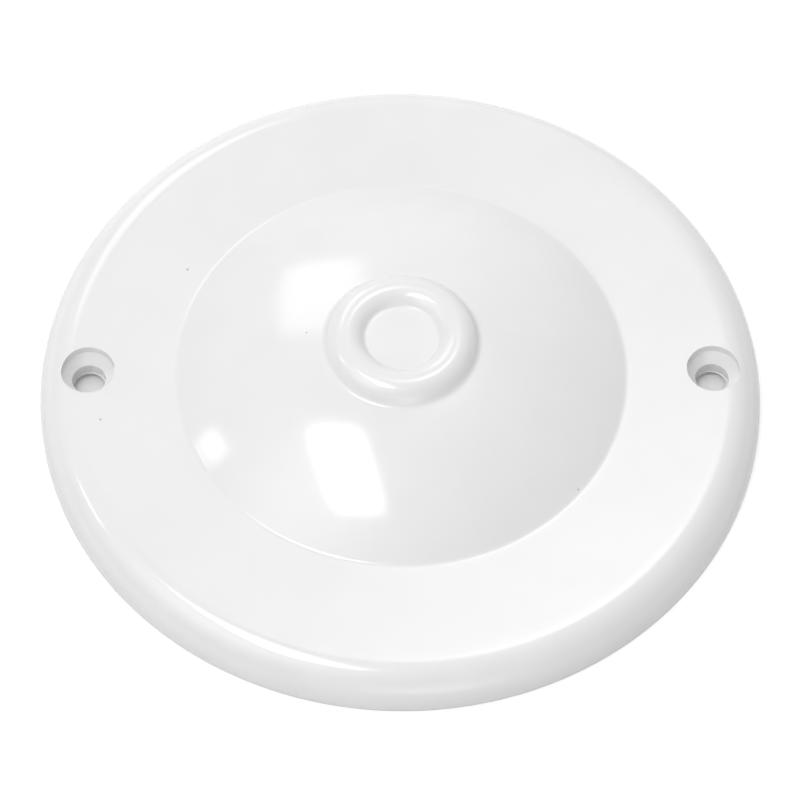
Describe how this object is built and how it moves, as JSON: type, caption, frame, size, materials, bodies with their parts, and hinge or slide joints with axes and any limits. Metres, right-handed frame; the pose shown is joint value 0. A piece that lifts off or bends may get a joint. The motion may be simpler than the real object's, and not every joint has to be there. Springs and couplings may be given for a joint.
{
  "type": "ceiling canopy",
  "caption": "Round glossy white ceiling canopy: flat flange with rounded edge, low dome with a beaded, closed recess at the crown, countersunk screw holes to fix it over an outlet box.",
  "frame": {"origin": "centre of the rim's seat, in the plane that lies against the ceiling", "axes": "+Z out of the domed face, away from the ceiling; +X along the line of the screw holes"},
  "size_m": [0.103, 0.103, 0.015],
  "materials": {
    "white_gloss": "high-gloss white moulding"
  },
  "bodies": {
    "root": {"canopy": "white_gloss"}
  },
  "joints": []
}
